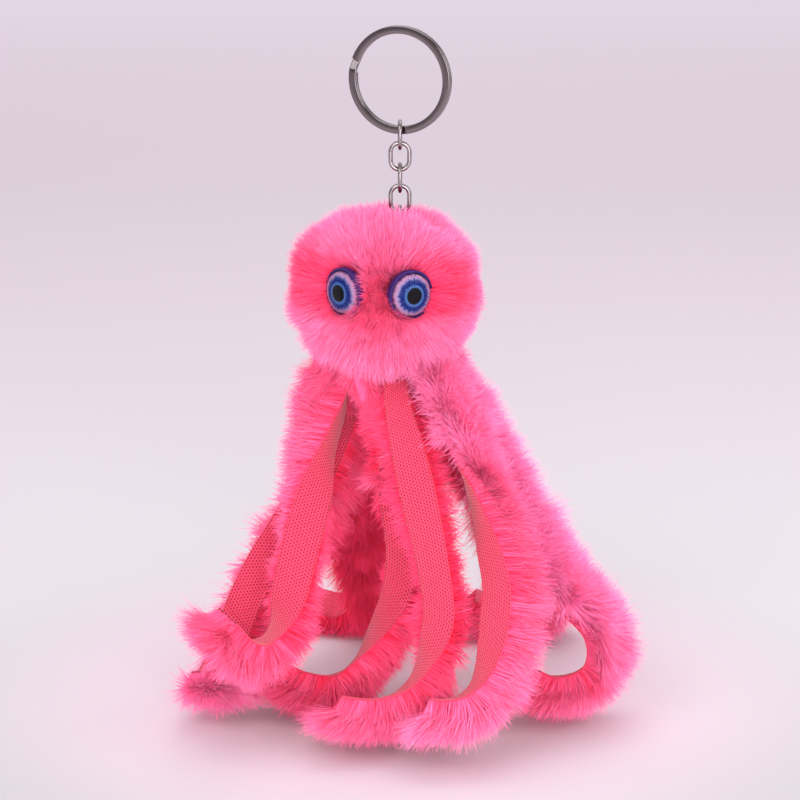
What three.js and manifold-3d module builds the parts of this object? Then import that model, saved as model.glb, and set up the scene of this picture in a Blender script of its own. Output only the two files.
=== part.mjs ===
// Fluffy octopus bag charm: a fur ball head with two domed eyes, eight strips of fur
// fabric as arms, and a short chain with a split key ring.
// Millimetres, +Z up, the face towards -Y. Heights are counted from the table that the
// feet touch; the whole charm is then lowered so that the origin is where it hangs.
import * as THREE from 'three';
import { mergeVertices } from 'three/addons/utils/BufferGeometryUtils.js';
import Module from 'manifold-3d';

const wasm = await Module();
wasm.setup();

// Fits
const seatGap = 0.3;
const cutOverrun = 2;
const weldDistance = 0.0001;

// Head: a fur cover over a stuffed knit ball
const headWidth = 55.8;
const headHeight = 49;
const headSinkShare = 0.347;
const headOffset = -3;
const backingWidthShare = 0.6272;
const backingHeightShare = 0.5755;
const backingThickness = 0.8;
const hemShare = 0.2258;
const baseDiscThickness = 1.2;
const drawThreadDiameter = 1;
const crownPitRadius = 9;
const crownPitFloorRadius = 4.6;
const crownHoleRadius = 3.2;
const crownDip = 0.6;

// Hanging loop: a cord loop over the last link, knotted inside the head
const loopCordDiameter = 1.2;
const loopBendRadius = 2.1;
const loopRise = 4;
const knotRadius = 3.9;

// Eyes: a cup with a shank, a printed disc, a clear dome and a washer inside the ball
const eyeDiameter = 13.8;
const eyeCupDepth = 2.6;
const eyeRimWidth = 0.7;
const eyeDiscThickness = 0.6;
const eyeDomeHeight = 3.2;
const eyeShankDiameter = 3;
const eyeShankLength = 7.8;
const eyeReachShare = 0.35;
const eyeRiseShare = 0.07;
const washerDiameter = 6;
const washerThickness = 1;
const washerSetback = 6.2;
const faceTurn = -9;
const eyeSpread = 25.5;
const eyeFacing = 37;

// Arms: a knitted tape with pile on one face
const armReach = 60;
const rootHeight = 103;
const rootInset = 1.1;
const firstRootTurn = 188;
const rootDrop = 4;
const tapeWidth = 10.5;
const tapeRootWidth = 6;
const tapeThickness = 1.1;
const pileLength = 14;
const pileBulge = 3;
const tapeWidensUntilShare = 0.36;
const pileRootShare = 0.12;

// Chain
const linkLength = 8.8;
const linkWidth = 6.5;
const linkWire = 1.25;
const linkCount = 5;

// Split ring: two turns of flat wire
const ringDiameter = 30;
const ringBand = 2.2;
const ringWireThickness = 1;
const ringTurnGap = 0.15;
const ringCorner = 0.25;
const ringSeatGap = 0.6;
const ringYaw = -21;
const ringSplitTurn = 158;
const ringStepSpan = 14;
const ringEndGap = 2;

// Facets
const roundSteps = 24;
const wireSides = 6;
const linkSteps = 20;
const armSteps = 28;
const pileFirstStep = 1;
const pileArcSteps = 7;
const shellSteps = 7;
const headSteps = 14;
const ringStepsPerTurn = 32;

const rad = THREE.MathUtils.degToRad;

function material(color, roughness, metalness = 0) {
  return new THREE.MeshStandardMaterial({ color, roughness, metalness });
}

const steel = material(0x9a9aa2, 0.25, 1);
const pinkPile = material(0xff4f8c, 0.95);
const pinkKnit = material(0xf2557f, 0.9);
const stuffingWhite = material(0xf4f1ec, 1);
const pinkThread = material(0xe8446f, 0.8);
const navyPlastic = material(0x141a4c, 0.3);
const blueEnamel = material(0x2f7fd8, 0.35);
const clearPlastic = material(0xdfeaff, 0.05);
const whitePlastic = material(0xf0f0ee, 0.5);

function named(name, geometry, look) {
  const mesh = new THREE.Mesh(geometry, look);
  mesh.name = name;
  return mesh;
}

// A bare closed mesh, with only its positions and with shared corners merged.
function bare(geometry) {
  const copy = geometry.clone();
  copy.deleteAttribute('normal');
  copy.deleteAttribute('uv');
  return mergeVertices(copy, weldDistance);
}

function solid(geometry) {
  const closed = bare(geometry);
  const vertProperties = new Float32Array(closed.attributes.position.array);
  const triVerts = new Uint32Array(closed.index.array);
  return new wasm.Manifold(new wasm.Mesh({ numProp: 3, vertProperties, triVerts }));
}

function geometryOf(body) {
  const mesh = body.getMesh();
  const geometry = new THREE.BufferGeometry();
  geometry.setAttribute('position', new THREE.BufferAttribute(mesh.vertProperties, 3));
  geometry.setIndex(new THREE.BufferAttribute(mesh.triVerts, 1));
  return geometry;
}

function cut(geometry, ...tools) {
  let body = solid(geometry);
  for (const tool of tools) {
    body = body.subtract(solid(tool));
  }
  return geometryOf(body);
}

function join(geometry, other) {
  return geometryOf(solid(geometry).add(solid(other)));
}

// A closed skin over a row of rings, each a list of as many corners, with flat ends. Each
// face between two rings is split along its shorter diagonal.
function loft(rings) {
  const sides = rings[0].length;
  const corners = rings.flat();
  const places = corners.flatMap((corner) => corner.toArray());
  const faces = [];
  for (let ring = 0; ring < rings.length - 1; ring += 1) {
    for (let side = 0; side < sides; side += 1) {
      const next = (side + 1) % sides;
      const a = ring * sides + side;
      const b = ring * sides + next;
      const c = b + sides;
      const d = a + sides;
      if (corners[a].distanceTo(corners[c]) < corners[b].distanceTo(corners[d])) {
        faces.push(a, b, c, a, c, d);
      } else {
        faces.push(a, b, d, b, c, d);
      }
    }
  }
  const last = (rings.length - 1) * sides;
  for (let side = 1; side < sides - 1; side += 1) {
    faces.push(0, side + 1, side);
    faces.push(last, last + side, last + side + 1);
  }
  const geometry = new THREE.BufferGeometry();
  geometry.setAttribute('position', new THREE.Float32BufferAttribute(places, 3));
  geometry.setIndex(faces);
  return geometry;
}

// A profile of [radius, height] points turned about the Z axis.
function turned(profile) {
  const points = profile.map(([radius, height]) => new THREE.Vector2(radius, height));
  return new THREE.LatheGeometry(points, roundSteps).rotateX(Math.PI / 2);
}

// An oval ring of round wire standing in the XZ plane: a torus with its halves pulled apart.
function ovalLink(length, width, wire) {
  const bend = (width - wire) / 2;
  const straight = (length - width) / 2;
  const geometry = new THREE.TorusGeometry(bend, wire / 2, wireSides, linkSteps);
  geometry.rotateZ(Math.PI / linkSteps);
  const places = geometry.attributes.position;
  for (let corner = 0; corner < places.count; corner += 1) {
    const height = places.getY(corner);
    places.setY(corner, height + Math.sign(height) * straight);
  }
  return geometry.rotateX(Math.PI / 2);
}

// Head, in a frame with its origin at the middle of the ball. The arms are sewn on a
// share of its height below that.
const headCentreHeight = rootHeight + headHeight * headSinkShare;
const backingWidth = headWidth * backingWidthShare;
const backingHeight = headHeight * backingHeightShare;
const headPileLength = (headHeight - backingHeight) / 2;
const hemRadius = headWidth * hemShare;
const discFloor = seatGap - headHeight * headSinkShare;
const hemFloor = discFloor + baseDiscThickness + seatGap;
const drawThreadHeight = hemFloor + drawThreadDiameter;
const pileFloor = discFloor + seatGap;
const loopTop = backingHeight / 2 + loopRise;
const knotHeight = backingHeight / 2 - backingThickness - knotRadius - 2 * seatGap;

// Half of an oval from one height up to another, as [radius, height] points.
function ovalArc(width, height, fromHeight, toHeight, steps) {
  const start = Math.asin((2 * fromHeight) / height);
  const end = Math.asin((2 * toHeight) / height);
  const points = [];
  for (let step = 0; step <= steps; step += 1) {
    const turn = start + ((end - start) * step) / steps;
    points.push([(Math.cos(turn) * width) / 2, (Math.sin(turn) * height) / 2]);
  }
  return points;
}

// The knit shell's outline, moved outwards by a distance: a hem tube that widens to a ball.
function shellOutline(outwards, floor) {
  const width = backingWidth + 2 * outwards;
  const height = backingHeight + 2 * outwards;
  const tube = hemRadius + outwards;
  const shoulder = (-height / 2) * Math.sqrt(1 - ((2 * tube) / width) ** 2);
  return [[tube, floor], ...ovalArc(width, height, shoulder, height / 2, shellSteps)];
}

function placed(geometry, across, height) {
  return geometry.translate(across, 0, height);
}

function rod(radius, length) {
  return new THREE.CylinderGeometry(radius, radius, length, roundSteps).rotateX(Math.PI / 2);
}

// An eye's own frame: its origin in the middle of the cup's back, +Z the way it looks.
function eyeFrame(side) {
  const place = rad(faceTurn + side * eyeSpread);
  const frame = new THREE.Object3D();
  const reach = headWidth * eyeReachShare;
  const rise = headHeight * eyeRiseShare;
  frame.position.set(Math.sin(place) * reach, -Math.cos(place) * reach, rise);
  frame.rotation.set(Math.PI / 2, 0, rad(faceTurn + side * eyeFacing), 'ZYX');
  frame.updateMatrix();
  return frame;
}

// The room that an eye takes: round its shank, and as wide as a cup or washer from one
// distance to another along the way that it looks.
function eyeRoom(side, radius, from, to) {
  const room = placed(rod(radius + seatGap, to - from), 0, (from + to) / 2);
  return room.applyMatrix4(eyeFrame(side).matrix);
}

function shankRoom(side) {
  return eyeRoom(side, eyeShankDiameter / 2, -eyeShankLength - seatGap, cutOverrun);
}

// The pit in the pile over the hanging loop, wider at its top.
function crownRoom() {
  const depth = headPileLength + cutOverrun;
  const room = new THREE.CylinderGeometry(crownPitRadius, crownPitFloorRadius, depth, roundSteps);
  room.rotateX(Math.PI / 2);
  return placed(room, -headOffset, (backingHeight + depth) / 2 - crownDip);
}

function headPile() {
  const threadRadius = hemRadius + drawThreadDiameter + 2 * seatGap;
  const collar = drawThreadHeight + drawThreadDiameter / 2 + seatGap;
  const [, ...lining] = shellOutline(seatGap, collar);
  const outside = ovalArc(headWidth, headHeight, pileFloor, headHeight / 2, headSteps);
  const tube = [[hemRadius + seatGap, collar], [threadRadius, collar], [threadRadius, pileFloor]];
  const ball = turned([...outside, ...lining.reverse(), ...tube, outside[0]]);
  const pockets = [-1, 1].map((side) => eyeRoom(side, eyeDiameter / 2, -seatGap, headWidth / 2));
  const shanks = [-1, 1].map(shankRoom);
  return cut(ball, crownRoom(), ...pockets, ...shanks);
}

function headBacking() {
  const outside = shellOutline(0, hemFloor);
  const inside = shellOutline(-backingThickness, hemFloor);
  const shell = turned([...outside, ...inside.reverse(), outside[0]]);
  const crownHole = placed(rod(crownHoleRadius, backingHeight), -headOffset, backingHeight / 2);
  return cut(shell, crownHole, ...[-1, 1].map(shankRoom));
}

function headStuffing() {
  const outside = shellOutline(-backingThickness - seatGap, hemFloor);
  const ball = turned([[0, hemFloor], ...outside]);
  const knotRoom = new THREE.SphereGeometry(knotRadius + seatGap, roundSteps, roundSteps / 2);
  placed(knotRoom, -headOffset, knotHeight);
  const cordRoom = rod(crownHoleRadius, headPileLength);
  placed(cordRoom, -headOffset, knotHeight + headPileLength / 2);
  const washers = [-1, 1].map((side) => {
    const washerBack = -washerSetback - washerThickness;
    return eyeRoom(side, washerDiameter / 2, washerBack - seatGap, seatGap);
  });
  return cut(ball, knotRoom, cordRoom, ...washers, ...[-1, 1].map(shankRoom));
}

function baseDisc() {
  const top = discFloor + baseDiscThickness;
  return turned([[0, discFloor], [hemRadius, discFloor], [hemRadius, top], [0, top]]);
}

function drawThread() {
  const middle = hemRadius + drawThreadDiameter / 2 + seatGap;
  const ring = new THREE.TorusGeometry(middle, drawThreadDiameter / 2, wireSides, roundSteps);
  return placed(ring, 0, drawThreadHeight);
}

// The cord loop that the last link hangs in, with the knot that holds it under the shell.
function hangingLoop() {
  const width = 2 * loopBendRadius + loopCordDiameter;
  const length = loopTop + loopCordDiameter / 2 - knotHeight;
  const cord = ovalLink(length, width, loopCordDiameter);
  placed(cord, 0, loopTop + loopCordDiameter / 2 - length / 2);
  const knot = new THREE.SphereGeometry(knotRadius, roundSteps / 2, roundSteps / 4);
  return join(cord, placed(knot.rotateX(Math.PI / 2), 0, knotHeight));
}

function eyeCup() {
  const radius = eyeDiameter / 2;
  const bowl = radius - eyeRimWidth;
  const shank = eyeShankDiameter / 2;
  return turned([
    [0, -eyeShankLength], [shank, -eyeShankLength], [shank, 0], [radius - eyeRimWidth, 0],
    [radius, eyeRimWidth], [radius, eyeCupDepth], [bowl, eyeCupDepth], [bowl, eyeCupDepth / 2],
    [0, eyeCupDepth / 2],
  ]);
}

function eyeDisc() {
  const radius = eyeDiameter / 2 - eyeRimWidth - seatGap;
  const floor = eyeCupDepth / 2 + seatGap;
  const top = floor + eyeDiscThickness;
  return turned([[0, floor], [radius, floor], [radius, top], [0, top]]);
}

function eyeDome() {
  const radius = eyeDiameter / 2 - eyeRimWidth - seatGap;
  const floor = eyeCupDepth / 2 + eyeDiscThickness + 2 * seatGap;
  const dome = ovalArc(2 * radius, 2 * eyeDomeHeight, 0, eyeDomeHeight, shellSteps);
  return turned([[0, floor], ...dome.map(([across, height]) => [across, floor + height])]);
}

function eyeWasher() {
  const inner = eyeShankDiameter / 2 + seatGap;
  const outer = washerDiameter / 2;
  const front = -washerSetback;
  const back = front - washerThickness;
  return turned([[inner, back], [outer, back], [outer, front], [inner, front], [inner, back]]);
}

function head() {
  const group = new THREE.Group();
  group.position.set(headOffset, 0, headCentreHeight);
  group.add(named('head_pile', headPile(), pinkPile));
  group.add(named('head_backing', headBacking(), pinkKnit));
  group.add(named('head_stuffing', headStuffing(), stuffingWhite));
  group.add(named('base_disc', baseDisc(), pinkKnit));
  group.add(named('draw_thread', drawThread(), pinkThread));
  const loop = named('hanging_loop', hangingLoop(), pinkThread);
  loop.position.x = -headOffset;
  group.add(loop);
  for (const [side, word] of [[-1, 'left'], [1, 'right']]) {
    const eye = eyeFrame(side);
    eye.add(named(`eye_cup_${word}`, eyeCup(), navyPlastic));
    eye.add(named(`eye_disc_${word}`, eyeDisc(), blueEnamel));
    eye.add(named(`eye_dome_${word}`, eyeDome(), clearPlastic));
    eye.add(named(`eye_washer_${word}`, eyeWasher(), whitePlastic));
    group.add(eye);
  }
  return group;
}

// Arms. Each row of a table is one place down the middle of the tape, as shares of the
// reach, the reach and the root height, and then the way that its pile points. The arms
// are listed from the left one, clockwise as seen from below.
const armRouteShares = [
  [
    [-0.27, -0.08, 0.85, -0.95, 0.1, 0], [-0.34, -0.23, 0.75, -0.9, 0.43, 0],
    [-0.4, -0.35, 0.64, -0.3, 0.95, 0], [-0.46, -0.45, 0.52, 0.05, 1, 0],
    [-0.51, -0.52, 0.4, 0.35, 0.9, -0.1], [-0.56, -0.56, 0.31, 0.7, 0.35, -0.5],
    [-0.64, -0.6, 0.265, 0.05, -0.2, -0.97], [-0.72, -0.66, 0.3, -0.55, -0.3, -0.75],
    [-0.79, -0.73, 0.37, -0.68, -0.32, -0.65],
  ],
  [
    [-0.08, -0.17, 0.85, -0.95, 0.1, 0], [-0.04, -0.2, 0.73, -0.7, 0.7, 0],
    [-0.01, -0.24, 0.61, 0.1, 1, 0], [0.01, -0.28, 0.49, 0.5, 0.86, 0],
    [0, -0.32, 0.39, 0.6, 0.8, 0], [-0.04, -0.33, 0.32, 0.65, 0.6, -0.3],
    [-0.12, -0.34, 0.24, 0.7, 0.25, -0.5], [-0.2, -0.34, 0.17, 0.55, -0.1, -0.8],
    [-0.28, -0.33, 0.12, 0.3, -0.25, -0.9], [-0.36, -0.33, 0.11, 0, -0.35, -0.93],
    [-0.46, -0.32, 0.12, -0.25, -0.35, -0.9], [-0.53, -0.32, 0.14, -0.4, -0.35, -0.85],
  ],
  [
    [-0.01, -0.32, 0.89, 0.1, 1, 0], [0.03, -0.43, 0.8, 0.15, 1, 0],
    [0.1, -0.57, 0.64, 0.35, 0.93, 0], [0.14, -0.65, 0.54, 0.5, 0.85, 0],
    [0.18, -0.72, 0.39, 0.6, 0.8, 0], [0.16, -0.74, 0.32, 0.7, 0.7, -0.15],
    [0.11, -0.75, 0.24, 0.78, 0.25, -0.5], [0.04, -0.76, 0.18, 0.45, -0.1, -0.86],
    [-0.05, -0.77, 0.15, 0.05, -0.32, -0.93], [-0.15, -0.77, 0.14, -0.1, -0.35, -0.92],
    [-0.27, -0.77, 0.15, -0.3, -0.35, -0.88],
  ],
  [
    [0.21, -0.25, 0.84, 0.7, -0.7, 0], [0.28, -0.4, 0.73, 0.9, -0.3, 0],
    [0.36, -0.57, 0.63, 0.95, 0.25, 0], [0.41, -0.68, 0.54, 0.75, 0.65, 0],
    [0.44, -0.78, 0.46, 0.66, 0.75, 0], [0.43, -0.85, 0.38, 0.68, 0.72, -0.1],
    [0.41, -0.9, 0.32, 0.72, 0.5, -0.3], [0.37, -0.92, 0.25, 0.7, 0.2, -0.6],
    [0.31, -0.93, 0.2, 0.45, -0.15, -0.85], [0.24, -0.94, 0.18, 0.05, -0.32, -0.93],
    [0.13, -0.94, 0.18, -0.2, -0.35, -0.9],
  ],
  [
    [0.25, 0, 0.85, 0.85, -0.5, 0.2], [0.32, -0.09, 0.76, 0.7, -0.65, 0.25],
    [0.42, -0.2, 0.64, 0.62, -0.7, 0.35], [0.53, -0.29, 0.53, 0.62, -0.65, 0.42],
    [0.66, -0.35, 0.42, 0.68, -0.5, 0.5], [0.78, -0.38, 0.34, 0.78, -0.38, 0.5],
    [0.87, -0.38, 0.28, 0.93, -0.3, 0.25], [0.91, -0.39, 0.22, 0.95, -0.3, -0.1],
    [0.89, -0.39, 0.16, 0.8, -0.3, -0.55], [0.82, -0.39, 0.13, 0.35, -0.32, -0.88],
    [0.73, -0.39, 0.12, -0.1, -0.32, -0.93], [0.65, -0.39, 0.14, -0.4, -0.3, -0.85],
  ],
  [
    [0.21, 0.25, 0.8, -0.4, -0.9, 0], [0.35, 0.37, 0.66, -0.3, -0.95, 0],
    [0.49, 0.5, 0.5, -0.1, -1, 0], [0.61, 0.62, 0.34, 0.2, -0.97, 0],
    [0.71, 0.7, 0.22, 0.5, -0.85, 0], [0.75, 0.75, 0.15, 0.8, -0.4, -0.4],
    [0.7, 0.78, 0.1, 0.4, 0, -0.9], [0.6, 0.78, 0.09, 0, 0.1, -1],
    [0.48, 0.78, 0.1, -0.15, 0.1, -0.98], [0.39, 0.78, 0.12, -0.3, 0.1, -0.95],
  ],
  [
    [-0.11, 0.28, 0.78, 0, -1, 0], [-0.16, 0.43, 0.61, 0, -1, 0],
    [-0.19, 0.56, 0.45, 0, -1, 0], [-0.2, 0.67, 0.3, 0.15, -0.98, 0],
    [-0.2, 0.75, 0.18, 0.6, -0.75, -0.2], [-0.24, 0.81, 0.11, 0.55, -0.1, -0.8],
    [-0.31, 0.83, 0.08, 0.05, 0.45, -0.9], [-0.4, 0.83, 0.09, -0.1, 0.5, -0.87],
    [-0.47, 0.83, 0.1, -0.25, 0.5, -0.83],
  ],
  [
    [-0.24, 0.13, 0.82, 0.7, 0.7, 0], [-0.34, 0.08, 0.7, 0.5, 0.85, 0],
    [-0.45, 0.02, 0.58, 0.4, 0.9, 0], [-0.56, -0.05, 0.48, 0.4, 0.9, 0],
    [-0.66, -0.1, 0.39, 0.4, 0.9, 0], [-0.74, -0.15, 0.3, 0.4, 0.9, 0],
    [-0.8, -0.2, 0.21, 0.35, 0.9, -0.2], [-0.84, -0.26, 0.15, 0.2, 0.8, -0.6],
    [-0.88, -0.33, 0.12, 0, 0.1, -1], [-0.9, -0.45, 0.15, 0, -0.6, -0.8],
  ],
];
// Which way the pile points where the arm is sewn on: 1 away from the middle, -1 to it.
const rootPileWays = [1, 1, -1, 1, 1, -1, -1, 1];

// The tape's middle line, and the pile's direction along it.
function armCurves(index) {
  const turn = rad(firstRootTurn + (360 / rootPileWays.length) * index);
  const outwards = new THREE.Vector3(Math.cos(turn), Math.sin(turn), 0);
  const root = outwards.clone().multiplyScalar(hemRadius - rootInset);
  root.x += headOffset;
  root.z = rootHeight;
  const drop = new THREE.Vector3(0, 0, -rootDrop);
  const rootWay = outwards.clone().multiplyScalar(rootPileWays[index]);
  const places = [root, root.clone().add(drop)];
  const ways = [rootWay, rootWay];
  for (const [across, depth, height, ...way] of armRouteShares[index]) {
    places.push(new THREE.Vector3(across * armReach, depth * armReach, height * rootHeight));
    ways.push(new THREE.Vector3(...way));
  }
  return {
    route: new THREE.CatmullRomCurve3(places, false, 'catmullrom', 0.5),
    way: new THREE.CatmullRomCurve3(ways, false, 'catmullrom', 0.5),
  };
}

// The cross-section at one share of an arm's length: it gives the place that lies so far
// across the tape and so far out through the pile.
function armSection({ route, way }, share) {
  const middle = route.getPointAt(share);
  const along = route.getTangentAt(share);
  const out = way.getPoint(route.getUtoTmapping(share));
  out.addScaledVector(along, -out.dot(along)).normalize();
  const across = new THREE.Vector3().crossVectors(along, out);
  return (width, height) => {
    const place = middle.clone().addScaledVector(across, width);
    return place.addScaledVector(out, height);
  };
}

function tapeHalfWidth(share) {
  const widened = THREE.MathUtils.smoothstep(share, 0, tapeWidensUntilShare);
  return THREE.MathUtils.lerp(tapeRootWidth, tapeWidth, widened) / 2;
}

function armTape(curves) {
  const rings = [];
  for (let step = 0; step <= armSteps; step += 1) {
    const share = step / armSteps;
    const at = armSection(curves, share);
    const side = tapeHalfWidth(share);
    const face = tapeThickness / 2;
    rings.push([at(-side, -face), at(-side, face), at(side, face), at(side, -face)]);
  }
  return loft(rings);
}

// The pile's body: it starts thin where the arm is sewn on, swells to its full length
// over the bend of the arm and ends in a straight cut.
function armPile(curves) {
  const rings = [];
  const floor = tapeThickness / 2 + seatGap;
  for (let step = pileFirstStep; step <= armSteps; step += 1) {
    const share = step / armSteps;
    const at = armSection(curves, share);
    const side = tapeHalfWidth(share);
    const swollen = Math.sin((Math.PI / 2) * share);
    const height = pileLength * THREE.MathUtils.lerp(pileRootShare, 1, swollen);
    const bulge = pileBulge * swollen;
    const ring = [];
    for (let turn = 0; turn <= pileArcSteps; turn += 1) {
      const angle = (Math.PI * turn) / pileArcSteps;
      const width = -Math.cos(angle) * (side + bulge * Math.sin(angle));
      ring.push(at(width, floor + Math.sin(angle) * height));
    }
    rings.push(ring);
  }
  return loft(rings);
}

// What lies under the table's top. It cuts the feet flat.
function tableRoom() {
  const side = 4 * armReach;
  return placed(new THREE.BoxGeometry(side, side, armReach), 0, -armReach / 2);
}

function arms() {
  const group = new THREE.Group();
  rootPileWays.forEach((_, index) => {
    const curves = armCurves(index);
    group.add(named(`arm_${index + 1}_tape`, armTape(curves), pinkKnit));
    group.add(named(`arm_${index + 1}_pile`, cut(armPile(curves), tableRoom()), pinkPile));
  });
  return group;
}

// Chain and ring, hung one over the other above the head's loop
const linkPitch = linkLength - 2 * linkWire - seatGap;
const loopBarHeight = headCentreHeight + loopTop;
const lastLinkHeight = loopBarHeight - loopCordDiameter / 2 - seatGap - linkWire + linkLength / 2;
const ringRadius = ringDiameter / 2;
const firstLinkHeight = lastLinkHeight + (linkCount - 1) * linkPitch;
const ringFloor = firstLinkHeight + linkLength / 2 - linkWire - ringSeatGap - ringBand;
const ringCentreHeight = ringFloor + ringRadius;

function chain() {
  const group = new THREE.Group();
  for (let index = 0; index < linkCount; index += 1) {
    const shape = ovalLink(linkLength, linkWidth, linkWire);
    const link = named(`chain_link_${index + 1}`, shape, steel);
    link.position.z = firstLinkHeight - index * linkPitch;
    link.rotation.z = index % 2 === 0 ? Math.PI / 2 : 0;
    group.add(link);
  }
  return group;
}

// Flat wire wound twice round, standing in the XZ plane. It steps from the front layer to
// the back one at the split, where both of its ends lie.
function splitRing() {
  const layer = (ringWireThickness + ringTurnGap) / 2;
  const inner = ringRadius - ringBand;
  const thick = ringWireThickness / 2;
  const section = [
    [inner, ringCorner - thick], [inner, thick - ringCorner],
    [inner + ringCorner, thick], [ringRadius - ringCorner, thick],
    [ringRadius, thick - ringCorner], [ringRadius, ringCorner - thick],
    [ringRadius - ringCorner, -thick], [inner + ringCorner, -thick],
  ];
  const rings = [];
  const steps = 2 * ringStepsPerTurn;
  const span = 720 - ringStepSpan - ringEndGap;
  for (let step = 0; step <= steps; step += 1) {
    const angle = (span * step) / steps;
    const shift = THREE.MathUtils.smoothstep(angle, 360 - ringStepSpan, 360);
    const depth = THREE.MathUtils.lerp(-layer, layer, shift);
    const turn = rad(ringSplitTurn - angle);
    rings.push(section.map(([radius, side]) => (
      new THREE.Vector3(Math.cos(turn) * radius, depth + side, Math.sin(turn) * radius)
    )));
  }
  const ring = named('split_ring', loft(rings), steel);
  ring.position.z = ringCentreHeight;
  ring.rotation.z = rad(ringYaw);
  return ring;
}

const octopus = new THREE.Group();
octopus.position.z = -(ringCentreHeight + ringRadius - ringBand);
octopus.add(splitRing());
octopus.add(chain());
octopus.add(head());
octopus.add(arms());

export default octopus;
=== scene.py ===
import math
from itertools import permutations

import bmesh
import bpy
import numpy as np
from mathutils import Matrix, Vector


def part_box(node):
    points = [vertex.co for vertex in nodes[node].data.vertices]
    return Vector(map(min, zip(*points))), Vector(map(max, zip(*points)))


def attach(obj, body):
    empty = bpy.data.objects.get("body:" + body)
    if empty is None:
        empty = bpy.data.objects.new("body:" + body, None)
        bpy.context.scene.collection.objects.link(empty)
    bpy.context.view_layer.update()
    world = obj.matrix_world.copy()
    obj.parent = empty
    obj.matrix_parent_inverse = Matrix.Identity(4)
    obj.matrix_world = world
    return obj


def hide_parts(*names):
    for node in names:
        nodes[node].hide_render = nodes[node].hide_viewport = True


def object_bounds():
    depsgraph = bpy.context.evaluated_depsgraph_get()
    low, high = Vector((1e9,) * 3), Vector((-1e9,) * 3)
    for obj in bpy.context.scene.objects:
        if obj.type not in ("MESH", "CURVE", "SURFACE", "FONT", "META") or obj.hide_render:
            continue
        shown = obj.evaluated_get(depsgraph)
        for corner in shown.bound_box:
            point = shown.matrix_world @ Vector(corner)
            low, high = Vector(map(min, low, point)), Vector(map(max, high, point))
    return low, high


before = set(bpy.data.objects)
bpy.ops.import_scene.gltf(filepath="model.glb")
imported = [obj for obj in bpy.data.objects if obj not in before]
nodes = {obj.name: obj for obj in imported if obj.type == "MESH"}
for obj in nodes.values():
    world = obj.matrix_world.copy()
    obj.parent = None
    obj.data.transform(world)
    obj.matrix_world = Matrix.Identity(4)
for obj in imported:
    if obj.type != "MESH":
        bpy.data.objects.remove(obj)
cad_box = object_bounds()

# The view: the charm hangs upright with its feet just touching a pale table, seen a
# little from above and square to its face. The floor runs on far behind it, and large
# soft lamps stand above, to the left and to the right.
scene = bpy.context.scene
scene.view_settings.view_transform = "Standard"
table_height = cad_box[0][2]
camera_aim = Vector((0, 0, table_height + 0.088))
camera_distance = 0.75
camera_elevation = math.radians(15)
camera = bpy.data.objects.new("camera", bpy.data.cameras.new("camera"))
camera.data.sensor_width = 36
camera.data.lens = 118.125
camera.data.clip_start = 0.01
camera.location = camera_aim + camera_distance * Vector(
    (0, -math.cos(camera_elevation), math.sin(camera_elevation))
)
camera.rotation_euler = (math.pi / 2 - camera_elevation, 0, 0)
scene.collection.objects.link(camera)
scene.camera = camera


class NodeTree:
    """A node tree under construction, with short calls for its common nodes."""

    def __init__(self, group):
        self.group = group

    def feed(self, node, label, value):
        socket = label if isinstance(label, bpy.types.NodeSocket) else node.inputs[label]
        if isinstance(value, bpy.types.NodeSocket):
            self.group.links.new(value, socket)
        elif socket.type == "RGBA":
            socket.default_value = (*value, 1)
        else:
            socket.default_value = value

    def give(self, node, **inputs):
        for label, value in inputs.items():
            self.feed(node, label.replace("_", " "), value)

    def add(self, kind, settings=None, **inputs):
        node = self.group.nodes.new(kind)
        for label, value in (settings or {}).items():
            setattr(node, label, value)
        self.give(node, **inputs)
        return node

    def number(self, operation, *values):
        node = self.add("ShaderNodeMath", {"operation": operation})
        for socket, value in zip(node.inputs, values):
            self.feed(node, socket, value)
        return node.outputs[0]

    def vector(self, operation, *values):
        node = self.add("ShaderNodeVectorMath", {"operation": operation})
        for socket, value in zip(node.inputs, values):
            self.feed(node, socket, value)
        return node.outputs["Value" if operation in ("DOT_PRODUCT", "LENGTH") else "Vector"]

    def scaled(self, vector, amount):
        return self.add(
            "ShaderNodeVectorMath", {"operation": "SCALE"}, Vector=vector, Scale=amount
        ).outputs["Vector"]

    def share_of(self, value, start, end, low=0.0, high=1.0, curve="LINEAR"):
        """Where a value lies from start to end, as a number from low to high."""
        return self.add(
            "ShaderNodeMapRange",
            {"interpolation_type": curve},
            Value=value,
            From_Min=start,
            From_Max=end,
            To_Min=low,
            To_Max=high,
        ).outputs["Result"]

    def ramp(self, share, stops):
        """The colour at a share of the way along stops, each a place and a colour."""
        node = self.add("ShaderNodeValToRGB", Fac=share)
        elements = node.color_ramp.elements
        while len(elements) < len(stops):
            elements.new(0.5)
        for element, (place, colour) in zip(elements, stops):
            element.position = place
            element.color = (*colour, 1)
        return node.outputs["Color"]

    def mixed(self, share, first, second):
        return self.add(
            "ShaderNodeMix", {"data_type": "RGBA"}, Factor=share, A=first, B=second
        ).outputs["Result"]


class Finish(NodeTree):
    """A material under construction. What its shader is given here is the same all over."""

    def __init__(self, name, **plain):
        self.material = bpy.data.materials.new(name)
        self.material.use_nodes = True
        super().__init__(self.material.node_tree)
        self.shader = self.group.nodes["Principled BSDF"]
        self.give(self.shader, **plain)

    def place(self):
        return self.add("ShaderNodeTexCoord").outputs["Object"]

    def grain(self, **inputs):
        return self.add("ShaderNodeTexNoise", **inputs).outputs["Fac"]

    def relief(self, height, distance, strength=1.0):
        return self.add(
            "ShaderNodeBump", Height=height, Distance=distance, Strength=strength
        ).outputs["Normal"]

    def show(self, **inputs):
        self.give(self.shader, **inputs)


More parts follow.
